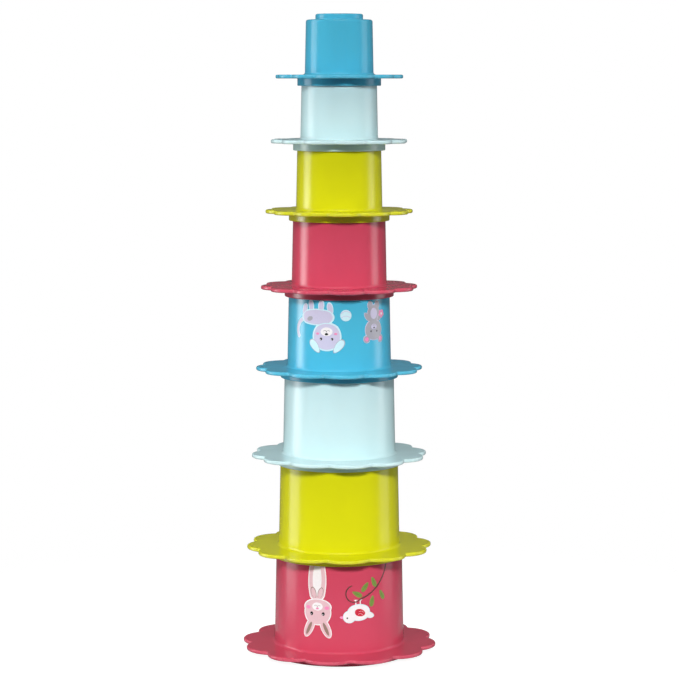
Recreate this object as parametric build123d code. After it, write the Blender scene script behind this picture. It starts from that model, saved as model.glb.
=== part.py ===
"""Stacking cup tower: eight moulded cups of one series, stood mouth down on one another.

Each cup is one thin moulding: a drafted round body, a closed roof with a raised hollow boss,
a scalloped flange around the mouth, and a short collar below the flange. The collar drops over
the shoulder of the next larger cup, and the seat inside it rests on that shoulder.

Millimetres, +Z up, front towards -Y. The origin is the centre of the rim the tower stands on.
"""

import os
from dataclasses import dataclass
from math import cos, radians, sin, tan

from build123d import *

# Driving dimensions, in millimetres and degrees. Index 0 is the smallest cup, at the top.
COLOURS = ("blue", "mint", "lime", "pink", "blue", "mint", "lime", "pink")
TURNS = (-8, 11, 4, 6, 4, 8, 6, -8)  # how far each cup happens to be turned in the stack

WALL = 2.0  # body, roof, boss and collar
NEST_GAP = 1.1  # radial room around a cup when it is nested in the next larger one
DRAFT = 1.2  # lean of the body wall, so that it leaves the mould

SMALLEST_BODY_R = 23.6  # outside, where the body meets the flange
SMALLEST_HEIGHT = 40.0  # from the seat up to the shoulder
HEIGHT_STEP = 4.1  # each cup is this much taller than the one before

BOSS_HEIGHT = 3.9
BOSS_PLAY = 2.2  # radial play of a boss in the mouth of the next smaller cup

FLANGE_THICKNESS = 2.6
FLANGE_REACH = 20.5  # from the smallest body out to the tips of its scallops
FLANGE_REACH_STEP = 0.3
SCALLOPS = 12
SCALLOP_DEPTH = 4.2  # tip to notch, smallest cup, before the notch is rounded
SCALLOP_DEPTH_STEP = 0.3

COLLAR_DEPTH = 5.0  # below the seat
SEAT_CLEARANCE = 0.9  # radial play of a collar on the shoulder that it drops over

# Moulding radii.
SHOULDER_ROUND = 1.5
BOSS_ROUND = 1.2
BOSS_FOOT_ROUND = 0.6
BODY_FOOT_ROUND = 1.8
FLANGE_EDGE_ROUND = 1.0
THIN_EDGE_SHARE = 0.45  # the most of its thickness that a thin flange can give to each rounding
NOTCH_ROUND = 2.0
COLLAR_EDGE_ROUND = 0.6
INSIDE_ROUND = 0.8


@dataclass
class CupSizes:
    """The sizes of one cup of the series, worked out from the driving dimensions."""

    body_r: float
    height: float
    shoulder_r: float
    boss_r: float
    flange_r: float
    scallop_depth: float


def cup_sizes(index):
    body_r = SMALLEST_BODY_R + index * (WALL + NEST_GAP)
    height = SMALLEST_HEIGHT + index * HEIGHT_STEP
    shoulder_r = body_r - (height - FLANGE_THICKNESS) * tan(radians(DRAFT))
    return CupSizes(
        body_r=body_r,
        height=height,
        shoulder_r=shoulder_r,
        boss_r=body_r - NEST_GAP - 2 * WALL - BOSS_PLAY,
        flange_r=body_r + FLANGE_REACH + index * FLANGE_REACH_STEP,
        scallop_depth=SCALLOP_DEPTH + index * SCALLOP_DEPTH_STEP,
    )


def collar_bore_r(index):
    """Inner radius of a collar: the next larger cup's shoulder and its play.

    The largest cup's collar is sized for a ninth cup of the same series.
    """
    return cup_sizes(index + 1).shoulder_r + SEAT_CLEARANCE


def turned_solid(corners):
    """Spin a half section about Z. Each corner is (radius, height, rounding)."""
    points = [(radius, height) for radius, height, _ in corners]
    section = make_face(Polyline(*points, close=True))
    for radius, height, rounding in corners:
        if rounding:
            corner = section.vertices().sort_by_distance((radius, height, 0))[0]
            section = fillet(corner, rounding)
    return revolve(Plane.XZ * section, Axis.Z)


def cup_outside(size, collar_r):
    top = size.height + BOSS_HEIGHT
    return turned_solid([
        (0, -COLLAR_DEPTH, 0),
        (collar_r, -COLLAR_DEPTH, COLLAR_EDGE_ROUND),
        (collar_r, FLANGE_THICKNESS, 0),
        (size.body_r, FLANGE_THICKNESS, BODY_FOOT_ROUND),
        (size.shoulder_r, size.height, SHOULDER_ROUND),
        (size.boss_r, size.height, BOSS_FOOT_ROUND),
        (size.boss_r, top, BOSS_ROUND),
        (0, top, 0),
    ])


def cup_inside(size, bore_r):
    roof = size.height - WALL
    boss_roof = roof + BOSS_HEIGHT
    return turned_solid([
        (0, -COLLAR_DEPTH, 0),
        (bore_r, -COLLAR_DEPTH, 0),
        (bore_r, 0, 0),
        (size.body_r - WALL, 0, INSIDE_ROUND),
        (size.shoulder_r - WALL, roof, INSIDE_ROUND),
        (size.boss_r - WALL, roof, INSIDE_ROUND),
        (size.boss_r - WALL, boss_roof, INSIDE_ROUND),
        (0, boss_roof, 0),
    ])


def scalloped_outline(flange_r, depth):
    """Twelve equal arcs that bulge outwards and meet in notches at the given depth."""
    notch_r = flange_r - depth
    half_pitch = 180 / SCALLOPS
    arcs = []
    for scallop in range(SCALLOPS):
        middle = scallop * 2 * half_pitch
        arcs.append(ThreePointArc(
            polar(notch_r, middle - half_pitch),
            polar(flange_r, middle),
            polar(notch_r, middle + half_pitch),
        ))
    outline = make_face(arcs)
    return fillet(outline.vertices(), NOTCH_ROUND)


def polar(radius, angle):
    return (radius * cos(radians(angle)), radius * sin(radians(angle)))


def flange(size):
    plate = extrude(scalloped_outline(size.flange_r, size.scallop_depth), FLANGE_THICKNESS)
    rims = plate.faces().filter_by(Axis.Z).edges()
    return fillet(rims, min(FLANGE_EDGE_ROUND, FLANGE_THICKNESS * THIN_EDGE_SHARE))


def moulded_cup(index):
    """One cup, mouth down, with its seat at z = 0."""
    size = cup_sizes(index)
    bore_r = collar_bore_r(index)
    outside = cup_outside(size, bore_r + WALL) + flange(size)
    return outside - cup_inside(size, bore_r)


def seat_heights():
    """Height of each cup's seat in the tower, smallest cup first."""
    heights = [COLLAR_DEPTH]
    for index in reversed(range(1, len(COLOURS))):
        heights.insert(0, heights[0] + cup_sizes(index).height)
    return heights


os.makedirs("parts", exist_ok=True)
for index, seat in enumerate(seat_heights()):
    cup = Pos(0, 0, seat) * Rot(0, 0, TURNS[index]) * moulded_cup(index)
    name = f"cup_{index + 1}_{COLOURS[index]}"
    export_step(cup, f"parts/{name}.step")
    size = cup_sizes(index)
    print(f"{name}: seat {seat:.2f}, height {size.height:.2f}, body r {size.body_r:.2f},"
          f" shoulder r {size.shoulder_r:.2f}, boss r {size.boss_r:.2f},"
          f" flange r {size.flange_r:.2f}, collar bore r {collar_bore_r(index):.2f}")
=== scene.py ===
"""Stacking cup tower: eight glossy moulded cups stood mouth down on one another.

Every cup is remade as a fine moulding in the place of its solid, with a rounded section, a
scalloped flange and a gate mark. Two of the cups carry pad-printed pictures, made as thin films of
ink that are wrapped on the wall. Metres, +Z up, front towards -Y.
"""

from math import atan2, cos, hypot, pi, radians, sin, sqrt, tan

import bmesh
import bpy
from mathutils import Matrix, Vector


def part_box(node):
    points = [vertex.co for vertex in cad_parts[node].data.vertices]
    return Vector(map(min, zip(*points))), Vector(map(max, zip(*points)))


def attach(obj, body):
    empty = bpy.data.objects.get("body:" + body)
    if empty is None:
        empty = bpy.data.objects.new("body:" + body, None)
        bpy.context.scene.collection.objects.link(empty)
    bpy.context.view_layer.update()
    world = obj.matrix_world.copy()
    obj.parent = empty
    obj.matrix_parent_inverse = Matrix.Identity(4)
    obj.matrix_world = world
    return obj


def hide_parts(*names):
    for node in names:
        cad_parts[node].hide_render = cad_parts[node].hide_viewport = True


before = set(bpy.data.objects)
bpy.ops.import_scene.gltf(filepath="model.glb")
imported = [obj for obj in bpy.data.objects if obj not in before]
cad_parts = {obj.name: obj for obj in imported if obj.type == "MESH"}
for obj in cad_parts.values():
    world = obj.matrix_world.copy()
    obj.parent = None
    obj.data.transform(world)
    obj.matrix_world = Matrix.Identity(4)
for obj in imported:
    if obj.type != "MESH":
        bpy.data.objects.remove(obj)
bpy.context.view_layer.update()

# ---------------------------------------------------------------- the series of cups

# Index 0 is the smallest cup, at the top. These are the sizes that the solids have, in metres.
COLOURS = ("blue", "mint", "lime", "pink", "blue", "mint", "lime", "pink")
TURNS = (-8, 11, 4, 6, 4, 8, 6, -8)  # degrees that each cup happens to be turned in the stack

WALL = 0.0020
NEST_GAP = 0.0011
DRAFT = radians(1.2)
SMALLEST_BODY_R = 0.0236
SMALLEST_HEIGHT = 0.0400
HEIGHT_STEP = 0.0041
BOSS_HEIGHT = 0.0039
BOSS_PLAY = 0.0022
FLANGE_THICKNESS = 0.0026
FLANGE_REACH = 0.0205
FLANGE_REACH_STEP = 0.0003
SCALLOPS = 12
SCALLOP_DEPTH = 0.0042
SCALLOP_DEPTH_STEP = 0.0003
COLLAR_DEPTH = 0.0050
SEAT_CLEARANCE = 0.0009

SHOULDER_ROUND = 0.0015
BOSS_ROUND = 0.0012
BOSS_FOOT_ROUND = 0.0006
BODY_FOOT_ROUND = 0.0018
FLANGE_EDGE_ROUND = 0.0010
NOTCH_ROUND = 0.0020
COLLAR_EDGE_ROUND = 0.0006
INSIDE_ROUND = 0.0008
CREASE_ROUND = 0.0002  # the small radius that every other moulded edge has

GATE_R = 0.0024  # shallow dimple around the gate, in the middle of the boss
GATE_DEPTH = 0.0003
VESTIGE_R = 0.0006  # the stub left where the runner broke off
VESTIGE_HEIGHT = 0.0002

LOBE = 2 * pi / SCALLOPS
LOBE_STEPS = 40  # around each scallop
CROWDING = 0.75  # how far those steps draw together at the notches, from 0 to 1
MERGE_DISTANCE = 1e-6  # far below the finest step of the mesh
RIM_MARGIN = 1.01  # takes in the last vertex of the flange's rounding as well
FLATS_RULE = 100  # the weight at which the largest face at a vertex decides its normal


class Cup:
    """The sizes and the place of one cup."""

    def __init__(self, index):
        self.node = f"cup_{index + 1}_{COLOURS[index]}"
        self.colour = COLOURS[index]
        self.turn = radians(TURNS[index])
        self.body_r = SMALLEST_BODY_R + index * (WALL + NEST_GAP)
        self.height = SMALLEST_HEIGHT + index * HEIGHT_STEP
        self.shoulder_r = self.wall_r(self.height)
        self.boss_r = self.body_r - NEST_GAP - 2 * WALL - BOSS_PLAY
        self.flange_r = self.body_r + FLANGE_REACH + index * FLANGE_REACH_STEP
        self.scallop_depth = SCALLOP_DEPTH + index * SCALLOP_DEPTH_STEP
        self.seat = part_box(self.node)[0].z + COLLAR_DEPTH

    def wall_r(self, height):
        """Outer radius of the drafted wall at a height above the seat."""
        return self.body_r - (height - FLANGE_THICKNESS) * tan(DRAFT)


cups = [Cup(index) for index in range(len(COLOURS))]


def collar_bore_r(index):
    """A collar drops over the next larger cup's shoulder; the last is sized for a ninth cup."""
    if index + 1 < len(cups):
        return cups[index + 1].shoulder_r + SEAT_CLEARANCE
    step = WALL + NEST_GAP - HEIGHT_STEP * tan(DRAFT)
    return cups[index].shoulder_r + step + SEAT_CLEARANCE


def half_section(cup, bore_r):
    """Corners of the moulding's half section as (radius, height above the seat, rounding)."""
    roof = cup.height - WALL
    top = cup.height + BOSS_HEIGHT
    boss_roof = top - WALL
    return [
        (0, top - GATE_DEPTH + VESTIGE_HEIGHT, 0),
        (VESTIGE_R, top - GATE_DEPTH + VESTIGE_HEIGHT, CREASE_ROUND / 2),
        (VESTIGE_R, top - GATE_DEPTH, 0),
        (GATE_R, top - GATE_DEPTH, 0),
        (GATE_R + GATE_DEPTH, top, CREASE_ROUND / 2),
        (cup.boss_r, top, BOSS_ROUND),
        (cup.boss_r, cup.height, BOSS_FOOT_ROUND),
        (cup.shoulder_r, cup.height, SHOULDER_ROUND),
        (cup.body_r, FLANGE_THICKNESS, BODY_FOOT_ROUND),
        (cup.flange_r, FLANGE_THICKNESS, FLANGE_EDGE_ROUND),
        (cup.flange_r, 0, FLANGE_EDGE_ROUND),
        (bore_r + WALL, 0, CREASE_ROUND),
        (bore_r + WALL, -COLLAR_DEPTH, COLLAR_EDGE_ROUND),
        (bore_r, -COLLAR_DEPTH, CREASE_ROUND),
        (bore_r, 0, CREASE_ROUND),
        (cup.body_r - WALL, 0, INSIDE_ROUND),
        (cup.shoulder_r - WALL, roof, INSIDE_ROUND),
        (cup.boss_r - WALL, roof, INSIDE_ROUND),
        (cup.boss_r - WALL, boss_roof, INSIDE_ROUND),
        (0, boss_roof, 0),
    ]


def round_steps(rounding):
    """Enough bevel segments for a moulding radius to look round up close."""
    if rounding >= BODY_FOOT_ROUND / 2:
        return 6
    return 4 if rounding >= COLLAR_EDGE_ROUND else 2


def turned_wedge(bm, corners):
    """Rounds the corners of a half section and turns it through one scallop."""
    verts = [bm.verts.new((radius, 0, height)) for radius, height, _ in corners]
    face = bm.faces.new(verts)
    axis_edge = bm.edges.get((verts[0], verts[-1]))
    for vert, (_, _, rounding) in zip(verts, corners):
        if rounding:
            bmesh.ops.bevel(
                bm, geom=[vert], offset=rounding, offset_type="OFFSET", affect="VERTICES",
                segments=round_steps(rounding), profile=0.5, material=-1,
            )
    bmesh.ops.delete(bm, geom=bm.faces[:], context="FACES_ONLY")
    bmesh.ops.delete(bm, geom=[axis_edge], context="EDGES")
    bmesh.ops.spin(
        bm, geom=bm.verts[:] + bm.edges[:], cent=(0, 0, 0), axis=(0, 0, 1),
        angle=LOBE, steps=LOBE_STEPS, use_merge=False,
    )


def repeat_around(bm):
    """Copies the wedge to every scallop and joins the copies into a closed shell."""
    bmesh.ops.spin(
        bm, geom=bm.verts[:] + bm.edges[:] + bm.faces[:], cent=(0, 0, 0), axis=(0, 0, 1),
        angle=2 * pi - LOBE, steps=SCALLOPS - 1, use_duplicate=True, use_merge=False,
    )
    bmesh.ops.remove_doubles(bm, verts=bm.verts[:], dist=MERGE_DISTANCE)


class Scallops:
    """The flange's outline: equal lobe arcs that meet in rounded notches, and its offsets."""

    def __init__(self, tip_r, depth):
        notch_r = tip_r - depth
        half = LOBE / 2
        self.lobe_at = (tip_r**2 - notch_r**2) / (2 * (tip_r - notch_r * cos(half)))
        self.lobe_r = tip_r - self.lobe_at
        reach = self.lobe_r + NOTCH_ROUND
        self.notch_at = self.lobe_at * cos(half) + sqrt(reach**2 - (self.lobe_at * sin(half)) ** 2)
        beyond_lobe = self.notch_at * cos(half) - self.lobe_at
        towards_notch = Vector((beyond_lobe, self.notch_at * sin(half)))
        tangent = Vector((self.lobe_at, 0)) + towards_notch.normalized() * self.lobe_r
        self.tangent_angle = atan2(tangent.y, tangent.x)

    def point(self, angle, inset):
        """The outline's point in a direction, moved into the plastic by the inset."""
        middle = round(angle / LOBE) * LOBE
        off_middle = angle - middle
        along = Vector((cos(off_middle), sin(off_middle)))
        if abs(off_middle) <= self.tangent_angle:
            centre = Vector((self.lobe_at, 0))
            dot = centre.dot(along)
            on_line = along * (dot + sqrt(dot**2 - self.lobe_at**2 + self.lobe_r**2))
            outwards = (on_line - centre).normalized()
        else:
            side = 1 if off_middle > 0 else -1
            centre = Vector((cos(LOBE / 2), side * sin(LOBE / 2))) * self.notch_at
            dot = centre.dot(along)
            on_line = along * (dot - sqrt(dot**2 - self.notch_at**2 + NOTCH_ROUND**2))
            outwards = (centre - on_line).normalized()
        moved = on_line - outwards * inset
        return Matrix.Rotation(middle, 2) @ moved


def scallop_the_flange(bm, cup):
    """Draws the steps together at the notches and takes the flange's rim to its outline."""
    outline = Scallops(cup.flange_r, cup.scallop_depth)
    for vert in bm.verts:
        radius = hypot(vert.co.x, vert.co.y)
        angle = atan2(vert.co.y, vert.co.x)
        angle += CROWDING * sin(SCALLOPS * angle) / SCALLOPS
        inset = cup.flange_r - radius
        if inset < FLANGE_EDGE_ROUND * RIM_MARGIN:
            vert.co.xy = outline.point(angle, inset)
        else:
            vert.co.xy = (radius * cos(angle), radius * sin(angle))


def mark_worn_edges(mesh, cup, bore_r):
    """Stores how exposed each vertex is: 1 around the flange's rim and the other outer rounds."""
    worn = mesh.attributes.new("worn", "FLOAT", "POINT")
    for vert, value in zip(mesh.vertices, worn.data):
        radius = hypot(vert.co.x, vert.co.y)
        height = vert.co.z - cup.seat
        beside_flange = CREASE_ROUND < height < FLANGE_THICKNESS - CREASE_ROUND
        on_rim = beside_flange and radius > bore_r + 2 * WALL
        on_collar = height < CREASE_ROUND - COLLAR_DEPTH and radius > bore_r + CREASE_ROUND
        at_shoulder = abs(height - cup.height) < CREASE_ROUND
        on_shoulder = at_shoulder and radius > cup.shoulder_r - SHOULDER_ROUND
        above_boss = height > cup.height + BOSS_HEIGHT - CREASE_ROUND
        on_boss = above_boss and radius > cup.boss_r - BOSS_ROUND
        value.value = float(on_rim or on_collar or on_shoulder or on_boss)


def finished_object(name, bm, material, smooth=True):
    """A mesh object from a bmesh, with outward normals."""
    bmesh.ops.recalc_face_normals(bm, faces=bm.faces[:])
    for face in bm.faces:
        face.smooth = smooth
    mesh = bpy.data.meshes.new(name)
    bm.to_mesh(mesh)
    bm.free()
    mesh.materials.append(material)
    piece = bpy.data.objects.new(name, mesh)
    bpy.context.scene.collection.objects.link(piece)
    return piece


def keep_flats_flat(piece):
    """Shades the large faces flat and leaves the bending to the small rounds between them."""
    flats = piece.modifiers.new("flat faces stay flat", "WEIGHTED_NORMAL")
    flats.weight = FLATS_RULE


def moulded_cup(index, plastic):
    """Puts the fine moulding of one cup in the place of its solid."""
    cup = cups[index]
    bore_r = collar_bore_r(index)
    bm = bmesh.new()
    turned_wedge(bm, half_section(cup, bore_r))
    scallop_the_flange(bm, cup)
    repeat_around(bm)
    turn = Matrix.Rotation(cup.turn, 3, "Z")
    bmesh.ops.rotate(bm, verts=bm.verts[:], cent=(0, 0, 0), matrix=turn)
    bmesh.ops.translate(bm, verts=bm.verts[:], vec=(0, 0, cup.seat))
    piece = finished_object(f"{cup.node}_moulding", bm, plastic)
    mark_worn_edges(piece.data, cup, bore_r)
    keep_flats_flat(piece)
    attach(piece, cup.node)
    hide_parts(cup.node)


# ---------------------------------------------------------------- materials

IOR = 1.5  # of the plastic and of the dry ink
PLASTIC_ROUGHNESS = 0.17  # where it is clean; smudges, rubbing and grain add to it
RUB = 0.18  # how far the most rubbed edge turns to its paler colour
PEEL_DEPTH = 0.00006  # of the orange peel, in metres
SCATTER_DEPTH = 0.0015  # how far light goes into the plastic, in metres
INK_ROUGHNESS = 0.30
MOTTLE_DEPTH = 0.00002


class Signal:
    """A node's output, which can be added, subtracted and multiplied in plain expressions."""

    def __init__(self, shader, socket):
        self.shader = shader
        self.socket = socket

    def _math(self, operation, first, second):
        return self.shader.node("ShaderNodeMath", {"operation": operation}, {0: first, 1: second})

    def __add__(self, other):
        return self._math("ADD", self, other)

    def __radd__(self, other):
        return self._math("ADD", other, self)

    def __sub__(self, other):
        return self._math("SUBTRACT", self, other)

    def __rsub__(self, other):
        return self._math("SUBTRACT", other, self)

    def __mul__(self, other):
        return self._math("MULTIPLY", self, other)

    def __rmul__(self, other):
        return self._math("MULTIPLY", other, self)


class Shader:
    """The node tree of a material or of the surround. One method makes every kind of node."""

    def __init__(self, owner):
        self.owner = owner
        self.owner.use_nodes = True
        self.tree = self.owner.node_tree
        self.tree.nodes.clear()

    def node(self, kind, settings=None, inputs=None, output=0):
        """Makes a node. An input is a value or the Signal to link to it."""
        made = self.tree.nodes.new(kind)
        for name, value in (settings or {}).items():
            if name == "stops":
                self.set_stops(made.color_ramp, value)
            else:
                setattr(made, name, value)
        for name, value in (inputs or {}).items():
            if isinstance(value, Signal):
                self.tree.links.new(value.socket, made.inputs[name])
            else:
                made.inputs[name].default_value = value
        return Signal(self, made.outputs[output]) if made.outputs else made

    @staticmethod
    def set_stops(ramp, stops):
        while len(ramp.elements) < len(stops):
            ramp.elements.new(1)
        for element, (position, value) in zip(ramp.elements, stops):
            element.position = position
            element.color = (value, value, value, 1)

    def noise(self, scale, detail, stretch=(1, 1, 1)):
        """Noise on object coordinates, from 0 to 1. The scale is in waves per metre."""
        place = self.node("ShaderNodeTexCoord", output="Object")
        drawn = self.node("ShaderNodeMapping", {}, {"Vector": place, "Scale": stretch})
        return self.node(
            "ShaderNodeTexNoise", {}, {"Vector": drawn, "Scale": scale, "Detail": detail},
        )

    def ramp(self, value, stops):
        """A grey value taken through stops, each given as (position, grey)."""
        return self.node("ShaderNodeValToRGB", {"stops": stops}, {"Fac": value})

    def blend(self, share, first, second):
        """Two colours mixed, the second by the share."""
        inputs = {0: share, 6: first, 7: second}
        return self.node("ShaderNodeMix", {"data_type": "RGBA"}, inputs, output=2)

    def surface(self, inputs):
        """Finishes the tree with one Principled surface."""
        shader = self.node("ShaderNodeBsdfPrincipled", {}, inputs)
        self.node("ShaderNodeOutputMaterial", {}, {"Surface": shader})
        return self.owner


def shade(colour, factor):
    """A colour made darker or lighter, with its alpha added."""
    return tuple(min(1, channel * factor) for channel in colour) + (1,)


def moulded_plastic(name, colour, rub):
    """Semi-gloss moulded plastic: faint flow marks, orange peel, smudges and rubbed edges."""
    shader = Shader(bpy.data.materials.new(name))
    flow = shader.noise(28, 3, stretch=(1, 1, 0.35))
    smudge = shader.ramp(shader.noise(55, 4), [(0.48, 0), (0.72, 1)])
    peel = shader.noise(620, 2)
    grain = shader.noise(5200, 2)
    worn = shader.node("ShaderNodeAttribute", {"attribute_name": "worn"}, output="Fac")
    patchy = shader.ramp(shader.noise(240, 3), [(0.35, 0.3), (0.65, 1)])
    rubbed = worn * patchy * RUB
    body = shader.blend(flow, shade(colour, 0.965), shade(colour, 1.03))
    tinted = shader.blend(rubbed, body, shade(rub, 1))
    relief = peel * 0.85 + grain * 0.15
    bump = shader.node(
        "ShaderNodeBump", {}, {"Strength": 0.35, "Distance": PEEL_DEPTH, "Height": relief},
    )
    return shader.surface({
        "Base Color": tinted,
        "Roughness": PLASTIC_ROUGHNESS + smudge * 0.07 + rubbed * 0.35 + grain * 0.03,
        "IOR": IOR,
        "Subsurface Weight": 0.08,
        "Subsurface Radius": (1.0, 0.8, 0.7),
        "Subsurface Scale": SCATTER_DEPTH,
        "Normal": bump,
    })


def printing_ink(name, colour):
    """Pad-printed ink: an even matt film with a faint mottle."""
    shader = Shader(bpy.data.materials.new(name))
    mottle = shader.noise(900, 3)
    tinted = shader.blend(mottle, shade(colour, 0.93), shade(colour, 1.05))
    bump = shader.node(
        "ShaderNodeBump", {}, {"Strength": 0.3, "Distance": MOTTLE_DEPTH, "Height": mottle},
    )
    return shader.surface({
        "Base Color": tinted,
        "Roughness": INK_ROUGHNESS + mottle * 0.12,
        "IOR": IOR,
        "Normal": bump,
    })


PLASTICS = {
    "blue": moulded_plastic("blue_moulded_plastic", (0.070, 0.465, 0.665), (0.30, 0.62, 0.75)),
    "mint": moulded_plastic("mint_moulded_plastic", (0.570, 0.775, 0.795), (0.80, 0.92, 0.92)),
    "lime": moulded_plastic("lime_moulded_plastic", (0.640, 0.630, 0.003), (0.75, 0.76, 0.20)),
    "pink": moulded_plastic("pink_moulded_plastic", (0.600, 0.064, 0.118), (0.75, 0.25, 0.30)),
}

INK_COLOURS = {
    "ink_lilac": (0.600, 0.570, 0.740),
    "ink_pale_blue": (0.620, 0.840, 0.900),
    "ink_grey": (0.390, 0.380, 0.430),
    "ink_white": (0.880, 0.850, 0.860),
    "ink_rose": (0.860, 0.270, 0.500),
    "ink_blush": (0.750, 0.500, 0.540),
    "ink_black": (0.012, 0.010, 0.012),
    "ink_brown": (0.130, 0.050, 0.045),
    "ink_tan": (0.300, 0.200, 0.160),
    "ink_green": (0.190, 0.290, 0.060),
    "ink_leaf_vein": (0.110, 0.180, 0.040),
    "ink_red": (0.600, 0.020, 0.050),
}
INKS = {name: printing_ink(name, colour) for name, colour in INK_COLOURS.items()}

for index, cup in enumerate(cups):
    moulded_cup(index, PLASTICS[cup.colour])


# ---------------------------------------------------------------- printed pictures

# The drawings are in millimetres, and so are the thicknesses of the ink.
MILLIMETRE = 0.001
FILM = 0.02  # thickness of the first ink
OVERPRINT = 0.007  # how much higher each later shape stands
SUNK = 0.01  # how far the underside of the ink is let into the wall
EDGE_STEEPNESS = 3  # how steeply the rounded edge of a film rises to its flat top
BRUSH_SIDES = 8  # of a line's round section, before it is flattened
FEWEST_LINE_STEPS = 4
TINY = 0.001  # nearer to its axis than this, a shape is not squared off


class Picture:
    """Pictures pad-printed on the front of one cup's wall.

    Shapes are drawn flat, in millimetres, and a later shape covers the earlier ones. A place on the
    wall is the distance round from the front and the height above the cup's seat.
    """

    def __init__(self, cup):
        self.cup = cup
        self.middle_r = cup.wall_r(cup.height / 2)
        self.films = {}
        self.top = FILM
        self.frame = Matrix.Identity(4)

    def draw_at(self, across, height, turned=180):
        """Starts a drawing at a place. A cup stands mouth down, so its animals are upside down."""
        self.top = FILM
        turn = Matrix.Rotation(radians(turned), 4, "Z")
        self.frame = Matrix.Translation((across, height, 0)) @ turn

    def press(self, ink, shape, matrix):
        """Flattens a shape to a film with a soft edge and lays it in its place in the drawing."""
        for vert in shape.verts:
            rise = max(-1, min(1, EDGE_STEEPNESS * vert.co.z))
            vert.co.z = rise * (self.top if rise > 0 else SUNK)
        self.top += OVERPRINT
        bmesh.ops.transform(shape, matrix=self.frame @ matrix, verts=shape.verts)
        pressed = bpy.data.meshes.new(ink)
        shape.to_mesh(pressed)
        shape.free()
        self.films.setdefault(ink, bmesh.new()).from_mesh(pressed)
        bpy.data.meshes.remove(pressed)

    def blot(self, ink, at, size, tilt=0, taper=0, bow=0, square=0):
        """A filled oval of half sizes, which may taper upwards, bow sideways or be squared off."""
        shape = bmesh.new()
        reach = max(size)
        steps_around = int(16 + 4 * reach)
        steps_over = 2 * int(4 + reach)
        bmesh.ops.create_uvsphere(
            shape, u_segments=steps_around, v_segments=steps_over, radius=1,
        )
        for vert in shape.verts:
            x, y = vert.co.xy
            if square and hypot(x, y) > TINY:
                fuller = (hypot(x, y) / max(abs(x), abs(y))) ** square
                x, y = x * fuller, y * fuller
            vert.co.x = size[0] * (x * (1 - taper * y) + bow * y * y)
            vert.co.y = size[1] * y
        turn = Matrix.Rotation(radians(tilt), 4, "Z")
        self.press(ink, shape, Matrix.Translation((at[0], at[1], 0)) @ turn)

    def line(self, ink, start, middle, end, width):
        """A brush line with round ends, along the arc through three points."""
        a, b, c = (Vector(point) for point in (start, middle, end))
        across_ab, across_bc = (b - a).orthogonal(), (c - b).orthogonal()
        half_chord = (c - a) / 2
        to_centre = half_chord.cross(across_bc) / across_ab.cross(across_bc)
        centre = (a + b) / 2 + across_ab * to_centre
        first_half = 2 * (a - c).angle_signed(b - c)
        second_half = 2 * (b - a).angle_signed(c - a)
        sweep = -first_half - second_half
        arm = a - centre
        place = Matrix.Translation((centre.x, centre.y, 0))
        towards = Matrix.Rotation(atan2(arm.y, arm.x), 4, "Z")
        upright = Matrix.Rotation(pi / 2, 4, "X") @ Matrix.Diagonal((width / 2, 1, 1, 1))
        shape = bmesh.new()
        bmesh.ops.create_circle(shape, cap_ends=False, segments=BRUSH_SIDES, radius=1)
        bmesh.ops.transform(
            shape, verts=shape.verts[:],
            matrix=place @ towards @ Matrix.Translation((arm.length, 0, 0)) @ upright,
        )
        millimetres_long = int(abs(sweep) * arm.length)
        bmesh.ops.spin(
            shape, geom=shape.verts[:] + shape.edges[:], cent=(centre.x, centre.y, 0),
            axis=(0, 0, 1), angle=sweep, steps=max(FEWEST_LINE_STEPS, millimetres_long),
        )
        rims = [edge for edge in shape.edges if edge.is_boundary]
        bmesh.ops.holes_fill(shape, edges=rims, sides=BRUSH_SIDES)
        self.press(ink, shape, Matrix.Identity(4))
        for point in (start, end):
            self.blot(ink, point, (width / 2, width / 2))

    def coat(self, fur, edge, rim, shapes):
        """An animal's coat: every shape first a rim wider in the edge ink, then in the fur ink."""
        for at, size, more in shapes:
            self.blot(edge, at, (size[0] + rim, size[1] + rim), **more)
        for at, size, more in shapes:
            self.blot(fur, at, size, **more)

    def print_on_wall(self):
        """Wraps each ink's film round the wall, as one piece that rides on the cup."""
        for ink, bm in self.films.items():
            for vert in bm.verts:
                across, height, lift = vert.co * MILLIMETRE
                radius = self.cup.wall_r(height) + lift
                angle = across / self.middle_r
                vert.co = (radius * sin(angle), -radius * cos(angle), self.cup.seat + height)
            piece = finished_object(f"{self.cup.node}_{ink}", bm, INKS[ink])
            keep_flats_flat(piece)
            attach(piece, self.cup.node)


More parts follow.
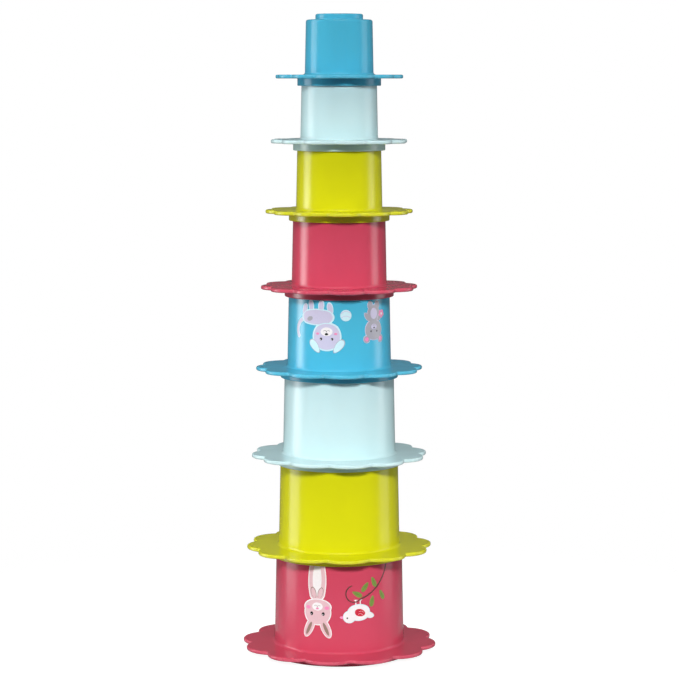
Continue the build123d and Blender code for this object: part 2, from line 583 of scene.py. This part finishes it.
def draw_puppy(picture):
    """A plain floppy-eared puppy, rolled on its back with its legs in the air."""
    picture.draw_at(-8.7, 26.5)
    picture.line("ink_pale_blue", (17.0, -12.0), (22.8, -7.5), (22.6, 0.0), 3.2)
    picture.line("ink_lilac", (17.0, -12.0), (22.8, -7.5), (22.6, 0.0), 2.2)
    legs = [((-2.5, -19.0), 12), ((4.0, -20.5), -6), ((11.5, -20.5), 8), ((17.0, -18.0), -14)]
    picture.coat("ink_lilac", "ink_pale_blue", 0.5, [
        (at, (1.7, 4.0), {"tilt": tilt, "taper": 0.15}) for at, tilt in legs
    ])
    picture.coat("ink_lilac", "ink_pale_blue", 0.5, [((7.0, -13.2), (12.0, 5.2), {"square": 0.25})])
    picture.blot("ink_grey", (12.5, -12.0), (2.6, 1.7), tilt=20)
    picture.coat("ink_lilac", "ink_pale_blue", 0.5, [((0, 0), (9.8, 9.4), {"square": 0.12})])
    picture.coat("ink_pale_blue", "ink_grey", 0.25, [
        ((-8.4, 6.6), (2.5, 5.4), {"tilt": -38, "taper": 0.25}),
        ((8.4, 6.6), (2.5, 5.4), {"tilt": 38, "taper": 0.25}),
    ])
    picture.blot("ink_white", (0, -3.4), (4.4, 3.1))
    picture.blot("ink_black", (0, -1.8), (1.35, 0.9), taper=-0.3)
    picture.line("ink_black", (0, -3.2), (-1.0, -4.3), (-2.2, -3.8), 0.3)
    picture.line("ink_black", (0, -3.2), (1.0, -4.3), (2.2, -3.8), 0.3)
    for side in (-1, 1):
        picture.blot("ink_black", (side * 3.9, 1.6), (0.85, 1.0))
        picture.blot("ink_white", (side * 3.9 + 0.3, 2.0), (0.26, 0.3))
        picture.blot("ink_rose", (side * 6.3, -2.0), (1.2, 0.8))


def draw_ball(picture):
    """A small striped ball beside the puppy."""
    picture.draw_at(4.6, 41.0)
    picture.blot("ink_pale_blue", (0, 0), (3.9, 3.9))
    picture.line("ink_lilac", (-3.1, 1.6), (0, 0.4), (3.1, 1.6), 0.45)
    picture.line("ink_lilac", (-3.1, -1.6), (0, -2.8), (3.1, -1.6), 0.45)


def draw_cub(picture):
    """A small grey bear cub that sits and holds a plain flower."""
    picture.draw_at(26.0, 30.5)
    picture.coat("ink_grey", "ink_lilac", 0.3, [
        ((-3.2, -17.0), (2.1, 2.6), {"tilt": 10}),
        ((3.2, -17.0), (2.1, 2.6), {"tilt": -10}),
        ((0, -10.8), (5.6, 6.2), {}),
        ((5.6, -9.0), (1.5, 3.4), {"tilt": 38}),
        ((-6.2, 6.2), (2.5, 2.5), {}),
        ((6.2, 6.2), (2.5, 2.5), {}),
        ((0, 0), (7.4, 6.9), {"square": 0.1}),
    ])
    picture.blot("ink_lilac", (0, -11.2), (3.2, 4.0))
    for side in (-1, 1):
        picture.blot("ink_rose", (side * 6.2, 6.2), (1.6, 1.6))
        picture.blot("ink_black", (side * 2.7, 0.9), (0.6, 0.7))
    picture.blot("ink_lilac", (0, -2.2), (2.7, 1.9))
    picture.blot("ink_black", (0, -1.5), (0.85, 0.55))
    picture.line("ink_black", (-1.1, -2.9), (0, -3.4), (1.1, -2.9), 0.25)
    picture.coat("ink_grey", "ink_lilac", 0.3, [((-5.4, -8.6), (1.5, 3.4), {"tilt": -38})])
    draw_flower(picture, (-7.6, -10.6), 1.35)


def draw_flower(picture, at, petal_r):
    """Equal round petals about a white middle, the first one straight up in the drawing."""
    petals = 5
    for petal in range(petals):
        angle = radians(90 + 360 / petals * petal)
        middle = (at[0] + petal_r * 1.25 * cos(angle), at[1] + petal_r * 1.25 * sin(angle))
        picture.blot("ink_rose", middle, (petal_r, petal_r))
    picture.blot("ink_white", at, (petal_r * 0.7, petal_r * 0.7))


def draw_rabbit(picture):
    """A plain pale pink rabbit that peeps out from the top of the wall, with its paws together."""
    picture.draw_at(-15.2, 31.4)
    picture.coat("ink_blush", "ink_white", 0.5, [((0.4, -22.0), (6.2, 14.5), {"square": 0.3})])
    picture.blot("ink_white", (0.4, -22.5), (3.4, 11.5))
    for side in (-1, 1):
        picture.blot("ink_tan", (0.4 + side * 2.5, -13.6), (2.0, 4.0), tilt=side * 16)
        picture.blot("ink_blush", (0.4 + side * 2.5, -13.4), (1.75, 3.8), tilt=side * 16)
    picture.coat("ink_blush", "ink_white", 0.5, [
        ((-5.8, 10.6), (2.8, 7.2), {"tilt": 24}),
        ((5.8, 10.6), (2.8, 7.2), {"tilt": -24}),
        ((0, 0), (9.4, 8.6), {"square": 0.1}),
        ((0, -3.6), (9.6, 5.4), {}),
    ])
    for side in (-1, 1):
        picture.blot("ink_tan", (side * 6.1, 11.4), (1.2, 5.0), tilt=-24 * side)
        picture.blot("ink_rose", (side * 6.7, -3.2), (1.7, 1.3))
        picture.blot("ink_black", (side * 4.2, 1.0), (1.1, 1.35))
        picture.blot("ink_white", (side * 4.2 + 0.35, 1.5), (0.35, 0.4))
    picture.blot("ink_white", (0, -4.0), (3.9, 2.9))
    picture.blot("ink_rose", (0, -2.7), (1.2, 0.8), taper=-0.3)
    picture.line("ink_tan", (0, -3.6), (-0.9, -4.8), (-2.1, -4.4), 0.3)
    picture.line("ink_tan", (0, -3.6), (0.9, -4.8), (2.1, -4.4), 0.3)


def draw_twig(picture):
    """A brown twig that comes down from under the flange and curls up, with green leaves."""
    picture.draw_at(0, 0, turned=0)
    leaves = [
        ((18.3, 48.6), -38), ((25.2, 51.6), 24), ((32.0, 42.0), 28), ((23.6, 38.4), -12),
        ((12.6, 44.0), 62),
    ]
    for at, tilt in leaves:
        picture.blot("ink_green", at, (1.7, 3.9), tilt=tilt, taper=0.3)
        picture.blot("ink_leaf_vein", at, (0.16, 2.7), tilt=tilt)
    picture.line("ink_brown", (36.6, 63.0), (28.9, 49.4), (14.6, 40.4), 1.1)
    picture.line("ink_brown", (14.6, 40.4), (4.6, 43.6), (8.6, 49.9), 0.85)


def draw_chick(picture):
    """A plain little bird that stands on the twig, with a red wing."""
    picture.draw_at(13.1, 30.7)
    for foot in (-1.6, 1.6):
        picture.blot("ink_white", (foot, -7.6), (0.38, 2.0))
        picture.blot("ink_white", (foot, -9.2), (1.3, 0.38))
    picture.blot("ink_rose", (10.9, 2.6), (1.9, 0.9), tilt=-8)
    picture.coat("ink_white", "ink_pale_blue", 0.3, [
        ((-8.2, 1.6), (3.6, 1.9), {"tilt": -24, "taper": 0.2}),
        ((-0.6, -0.6), (8.0, 5.6), {"square": 0.05}),
        ((6.0, 2.2), (4.3, 4.1), {}),
    ])
    picture.blot("ink_black", (7.6, 3.0), (0.6, 0.65))
    picture.blot("ink_red", (-1.4, -0.4), (4.0, 2.7), tilt=-14, bow=0.1)
    picture.line("ink_white", (-3.9, -0.6), (-2.4, -1.5), (-0.8, -1.2), 0.3)
    picture.line("ink_white", (-3.2, 1.1), (-1.8, 0.2), (-0.2, 0.5), 0.3)


upper_picture = Picture(cups[4])
draw_puppy(upper_picture)
draw_ball(upper_picture)
draw_cub(upper_picture)
upper_picture.print_on_wall()

lower_picture = Picture(cups[7])
draw_twig(lower_picture)
draw_rabbit(lower_picture)
draw_chick(lower_picture)
lower_picture.print_on_wall()


# ---------------------------------------------------------------- stage, light and camera

WHITE = (1, 1, 1, 1)

FLOOR_R = 0.40  # the lit card under the tower has faded out into the surround here
FLOOR_FADES_FROM = 0.12  # it starts to fade here, well outside the largest flange
FLOOR_GREY = 0.30
FLOOR_GLOW = 0.93  # what the camera sees of the light in the card
FLOOR_GLOW_ON_CUPS = 0.12  # and what the cups get of it
SURROUND_GLOW = 1.0
SURROUND_GLOW_ON_CUPS = 0.13

STRIP_DISTANCE = 1.30
STRIP_AZIMUTH = radians(96)  # from the camera's side round to the strip lights

CAMERA_PLACE = (0.0002, -1.6477, 0.39895)
CAMERA_DIP = radians(6.209)  # below the horizontal
LENS = 126.6  # focal length in millimetres, as is the width of the frame behind it
FRAME_WIDTH = 36


def floor_material():
    """Matt white card, lit from below as on a product table, that fades out into the surround."""
    shader = Shader(bpy.data.materials.new("white_card"))
    card = shader.node("ShaderNodeBsdfDiffuse", {}, {"Color": shade((FLOOR_GREY,) * 3, 1)})
    glow = shader.node("ShaderNodeEmission", {}, {"Color": WHITE, "Strength": FLOOR_GLOW})
    dim_glow = shader.node(
        "ShaderNodeEmission", {}, {"Color": WHITE, "Strength": FLOOR_GLOW_ON_CUPS},
    )
    seen = shader.node("ShaderNodeLightPath", output="Is Camera Ray")
    lit = shader.node("ShaderNodeMixShader", {}, {0: seen, 1: dim_glow, 2: glow})
    table = shader.node("ShaderNodeAddShader", {}, {0: card, 1: lit})
    gone = shader.node("ShaderNodeBsdfTransparent")
    place = shader.node("ShaderNodeTexCoord", output="Object")
    distance = shader.node(
        "ShaderNodeVectorMath", {"operation": "LENGTH"}, {0: place}, output="Value",
    )
    fade = shader.node("ShaderNodeMapRange", {"interpolation_type": "SMOOTHSTEP"}, {
        "Value": distance, "From Min": FLOOR_FADES_FROM, "From Max": FLOOR_R})
    mixed = shader.node("ShaderNodeMixShader", {}, {0: fade, 1: table, 2: gone})
    shader.node("ShaderNodeOutputMaterial", {}, {"Surface": mixed})
    return shader.owner


def lay_floor():
    """A round card at the height of the rim that the tower stands on."""
    bm = bmesh.new()
    bmesh.ops.create_circle(bm, cap_ends=True, segments=96, radius=FLOOR_R)
    floor = finished_object("floor", bm, floor_material(), smooth=False)


def area_light(name, place, target, size, radiance, shape="RECTANGLE", spread=pi):
    """A soft light whose face has the given radiance, where the surround's white is 1."""
    area = size[0] * size[1] * (pi / 4 if shape == "DISK" else 1)
    lamp = bpy.data.lights.new(name, "AREA")
    lamp.shape = shape
    lamp.size, lamp.size_y = size
    lamp.energy = radiance * area * pi
    lamp.spread = spread
    holder = bpy.data.objects.new(name, lamp)
    bpy.context.scene.collection.objects.link(holder)
    holder.location = place
    holder.rotation_euler = (Vector(target) - Vector(place)).to_track_quat("-Z", "Y").to_euler()
    return holder


def strip_light(name, side, height, low, degrees_wide, radiance):
    """An upright softbox beside the tower, a little behind it, that stands up from low."""
    across = side * STRIP_DISTANCE * sin(STRIP_AZIMUTH)
    back = -STRIP_DISTANCE * cos(STRIP_AZIMUTH)
    middle = low + height / 2
    width = 2 * STRIP_DISTANCE * tan(radians(degrees_wide / 2))
    area_light(name, (across, back, middle), (0, 0, middle), (width, height), radiance)


def light_the_studio():
    """A small key for the shadows under the flanges, soft light above, and strips at both sides.

    Each strip has a bright core in its lower part, and the left ones are brighter. No glint of
    the key or of the fill behind shows on the cups.
    """
    lower_cups = (0, 0, 0.10)
    key = area_light(
        "key", place=(0.05, -2.9, 1.33), target=lower_cups, size=(0.34, 0.34), radiance=6.5,
        shape="DISK", spread=radians(26),
    )
    key.visible_glossy = False
    area_light("overhead", place=(0, -1.3, 2.1), target=lower_cups, size=(1.4, 1.4), radiance=1.9)
    back_fill = area_light(
        "back_fill", place=(0, 2.0, 1.7), target=lower_cups, size=(1.2, 1.2), radiance=2.2,
    )
    back_fill.visible_glossy = False
    strip_light("strip_left", -1, height=2.00, low=-0.35, degrees_wide=27, radiance=2.5)
    strip_light("strip_left_core", -1, height=0.20, low=0.08, degrees_wide=13, radiance=10)
    strip_light("strip_right", 1, height=2.00, low=-0.35, degrees_wide=27, radiance=1.1)
    strip_light("strip_right_core", 1, height=0.20, low=0.08, degrees_wide=13, radiance=5)


def surround():
    """A surround that the camera sees as white and the cups as a dim studio."""
    world = bpy.data.worlds.new("white_surround")
    shader = Shader(world)
    bright = shader.node("ShaderNodeBackground", {}, {"Color": WHITE, "Strength": SURROUND_GLOW})
    dim = shader.node(
        "ShaderNodeBackground", {}, {"Color": WHITE, "Strength": SURROUND_GLOW_ON_CUPS},
    )
    seen = shader.node("ShaderNodeLightPath", output="Is Camera Ray")
    mixed = shader.node("ShaderNodeMixShader", {}, {0: seen, 1: dim, 2: bright})
    shader.node("ShaderNodeOutputWorld", {}, {"Surface": mixed})
    bpy.context.scene.world = world


def place_camera():
    """A long lens nearly level with the top cups, tipped down a little."""
    camera = bpy.data.cameras.new("camera")
    camera.sensor_width = FRAME_WIDTH
    camera.lens = LENS
    holder = bpy.data.objects.new("camera", camera)
    bpy.context.scene.collection.objects.link(holder)
    holder.location = CAMERA_PLACE
    holder.rotation_euler = (pi / 2 - CAMERA_DIP, 0, 0)
    bpy.context.scene.camera = holder


lay_floor()
light_the_studio()
surround()
place_camera()
bpy.context.scene.view_settings.view_transform = "Standard"
